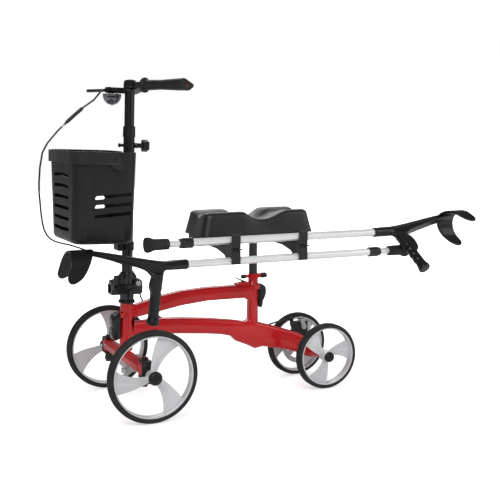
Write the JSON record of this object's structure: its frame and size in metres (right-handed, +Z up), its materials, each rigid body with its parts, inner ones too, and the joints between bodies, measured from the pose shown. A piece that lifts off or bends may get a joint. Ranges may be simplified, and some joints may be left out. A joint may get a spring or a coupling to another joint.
{
  "type": "knee walker",
  "caption": "Steerable four-wheel knee walker with a red spine frame, folding column, basket, contoured knee pad and two forearm crutches in a side rack.",
  "frame": {"origin": "centre of the bounding box's footprint, on the floor under the walker", "axes": "+X rearward along the walker, -X the way it travels; +Y to the walker's right side; +Z up"},
  "size_m": [1.2997, 0.5199, 0.9252],
  "materials": {
    "red_paint": "gloss",
    "black_paint": "satin",
    "black_plastic": "matte",
    "tyre_rubber": "matte",
    "grip_rubber": "matte",
    "pad_vinyl": "satin",
    "silver_rim": "satin",
    "alloy_tube": "satin",
    "steel": "satin"
  },
  "bodies": {
    "frame": {"main_frame": "red_paint", "front_axle_beam": "red_paint", "rear_axle": "steel", "headset_bush": "black_plastic", "brake_caliper": "black_paint", "brake_cable_rear": "black_plastic"},
    "steering": {"steerer": "steel", "fold_yoke": "black_paint", "fold_pin": "steel"},
    "left_knuckle": {"left_knuckle": "black_paint"},
    "right_knuckle": {"right_knuckle": "black_paint"},
    "front_left_wheel": {"front_left_tyre": "tyre_rubber", "front_left_rim": "silver_rim", "front_left_hub_fittings": "black_plastic"},
    "front_right_wheel": {"front_right_tyre": "tyre_rubber", "front_right_rim": "silver_rim", "front_right_hub_fittings": "black_plastic"},
    "rear_left_wheel": {"rear_left_tyre": "tyre_rubber", "rear_left_rim": "silver_rim", "rear_left_hub_fittings": "black_plastic"},
    "rear_right_wheel": {"rear_right_tyre": "tyre_rubber", "rear_right_rim": "silver_rim", "rear_right_hub_fittings": "black_plastic", "brake_rotor": "steel"},
    "tie_rod": {"tie_rod": "steel"},
    "fold_clamp": {"fold_clamp_lever": "black_paint"},
    "steering_lock": {"steering_lock_lever": "black_plastic"},
    "column": {"fold_lug": "black_paint", "column_tube": "black_paint", "column_collar": "black_plastic", "basket_bracket": "black_plastic", "brake_cable_front": "black_plastic"},
    "height_knob": {"height_knob": "black_plastic"},
    "handlebar": {"handlebar_post": "black_paint", "handlebar": "black_paint", "left_grip": "grip_rubber", "right_grip": "grip_rubber", "brake_lever_mount": "black_plastic", "bell_base": "black_plastic", "bell_dome": "steel"},
    "brake_lever": {"brake_lever": "black_paint"},
    "bell_striker": {"bell_striker": "black_plastic"},
    "basket": {"basket": "black_plastic"},
    "basket_handle": {"basket_handle": "black_plastic"},
    "caliper_arm": {"brake_caliper_arm": "steel"},
    "seat": {"seat_post": "black_paint", "pad_plate": "black_plastic", "knee_pad": "pad_vinyl", "crutch_rack_front": "black_plastic", "crutch_rack_rear": "black_plastic"},
    "seat_clamp": {"seat_clamp_lever": "black_plastic"},
    "seat_knob": {"seat_knob": "black_plastic"},
    "crutch_a": {"crutch_a_handle": "black_plastic", "crutch_a_tube": "alloy_tube"},
    "crutch_a_leg": {"crutch_a_leg": "alloy_tube", "crutch_a_tip": "tyre_rubber"},
    "crutch_b": {"crutch_b_handle": "black_plastic", "crutch_b_tube": "alloy_tube"},
    "crutch_b_leg": {"crutch_b_leg": "alloy_tube", "crutch_b_tip": "tyre_rubber"}
  },
  "joints": [
    {"name": "steering", "type": "hinge", "parent": "frame", "child": "steering", "pos_m": [-0.426, 0.031, 0.1273], "axis": [0.0314, 0, 0.9995], "range_deg": [-25, 25]},
    {"name": "left_knuckle_turn", "type": "hinge", "parent": "frame", "child": "left_knuckle", "pos_m": [-0.426, -0.127, 0.1273], "axis": [0.0314, 0, 0.9995], "range_deg": [-25, 25]},
    {"name": "right_knuckle_turn", "type": "hinge", "parent": "frame", "child": "right_knuckle", "pos_m": [-0.426, 0.189, 0.1273], "axis": [0.0314, 0, 0.9995], "range_deg": [-25, 25]},
    {"name": "tie_rod_swing", "type": "hinge", "parent": "steering", "child": "tie_rod", "pos_m": [-0.39801, 0.031, 0.12642], "axis": [0.0314, 0, 0.9995], "range_deg": [-25, 25]},
    {"name": "front_left_wheel_spin", "type": "hinge", "parent": "left_knuckle", "child": "front_left_wheel", "pos_m": [-0.4165, -0.169, 0.127], "axis": [0, 1, 0], "continuous": true},
    {"name": "front_right_wheel_spin", "type": "hinge", "parent": "right_knuckle", "child": "front_right_wheel", "pos_m": [-0.4165, 0.231, 0.127], "axis": [0, 1, 0], "continuous": true},
    {"name": "rear_left_wheel_spin", "type": "hinge", "parent": "frame", "child": "rear_left_wheel", "pos_m": [0.1795, -0.064, 0.1], "axis": [0, 1, 0], "continuous": true},
    {"name": "rear_right_wheel_spin", "type": "hinge", "parent": "frame", "child": "rear_right_wheel", "pos_m": [0.1795, 0.126, 0.1], "axis": [0, 1, 0], "continuous": true},
    {"name": "column_fold", "type": "hinge", "parent": "steering", "child": "column", "pos_m": [-0.39051, 0.031, 0.35229], "axis": [0, 1, 0], "range_deg": [0, 40]},
    {"name": "fold_clamp_swing", "type": "hinge", "parent": "steering", "child": "fold_clamp", "pos_m": [-0.46146, 0.0052, 0.34552], "axis": [0.9995, 0, -0.0314], "range_deg": [0, 110]},
    {"name": "steering_lock_swing", "type": "hinge", "parent": "frame", "child": "steering_lock", "pos_m": [-0.44924, 0.031, 0.2631], "axis": [0, 1, 0], "range_deg": [0, 50]},
    {"name": "height_knob_turn", "type": "hinge", "parent": "column", "child": "height_knob", "pos_m": [-0.40674, 0.031, 0.74], "axis": [0.9995, 0, -0.0314], "range_deg": [0, 360]},
    {"name": "handlebar_height", "type": "slide", "parent": "column", "child": "handlebar", "axis": [0.0314, 0, 0.9995], "range_m": [-0.05, 0.1], "deforming": ["brake_cable_front"]},
    {"name": "brake_lever_squeeze", "type": "hinge", "parent": "handlebar", "child": "brake_lever", "pos_m": [-0.44195, 0.089, 0.89318], "axis": [-0.0314, 0, -0.9995], "range_deg": [0, 20], "stiffness_Nm_per_rad": 0.5},
    {"name": "caliper_arm_pull", "type": "hinge", "parent": "frame", "child": "caliper_arm", "pos_m": [0.1875, 0.031, 0.16], "axis": [0, -1, 0], "range_deg": [0, 20]},
    {"name": "bell_striker_flick", "type": "hinge", "parent": "handlebar", "child": "bell_striker", "pos_m": [-0.43859, 0.0335, 0.87256], "axis": [0.0314, 0, 0.9995], "range_deg": [-12, 25], "stiffness_Nm_per_rad": 0.01},
    {"name": "basket_lift", "type": "slide", "parent": "column", "child": "basket", "axis": [0.0314, 0, 0.9995], "range_m": [0, 0.04]},
    {"name": "basket_handle_swing", "type": "hinge", "parent": "basket", "child": "basket_handle", "pos_m": [-0.49159, 0.031, 0.70164], "axis": [0, 1, 0], "range_deg": [0, 90]},
    {"name": "seat_height", "type": "slide", "parent": "frame", "child": "seat", "axis": [0, 0, 1], "range_m": [-0.08, 0.02]},
    {"name": "seat_clamp_swing", "type": "hinge", "parent": "frame", "child": "seat_clamp", "pos_m": [0.002, 0.031, 0.314], "axis": [0, -1, 0], "range_deg": [0, 90]},
    {"name": "seat_knob_turn", "type": "hinge", "parent": "frame", "child": "seat_knob", "pos_m": [-0.0215, 0.031, 0.346], "axis": [1, 0, 0], "range_deg": [0, 360]},
    {"name": "crutch_a_lift_out", "type": "slide", "parent": "seat", "child": "crutch_a", "axis": [0, 0, 1], "range_m": [0, 0.06]},
    {"name": "crutch_a_length", "type": "slide", "parent": "crutch_a", "child": "crutch_a_leg", "axis": [-1, 0, 0], "range_m": [0, 0.075]},
    {"name": "crutch_b_lift_out", "type": "slide", "parent": "seat", "child": "crutch_b", "axis": [0, 0, -1], "range_m": [0, 0.05]},
    {"name": "crutch_b_length", "type": "slide", "parent": "crutch_b", "child": "crutch_b_leg", "axis": [1, 0, 0], "range_m": [0, 0.1]}
  ],
  "couplings": [
    {"joint": "left_knuckle_turn", "follows": "steering", "ratio": 1},
    {"joint": "right_knuckle_turn", "follows": "steering", "ratio": 1},
    {"joint": "tie_rod_swing", "follows": "steering", "ratio": -1},
    {"joint": "caliper_arm_pull", "follows": "brake_lever_squeeze", "ratio": 1}
  ]
}
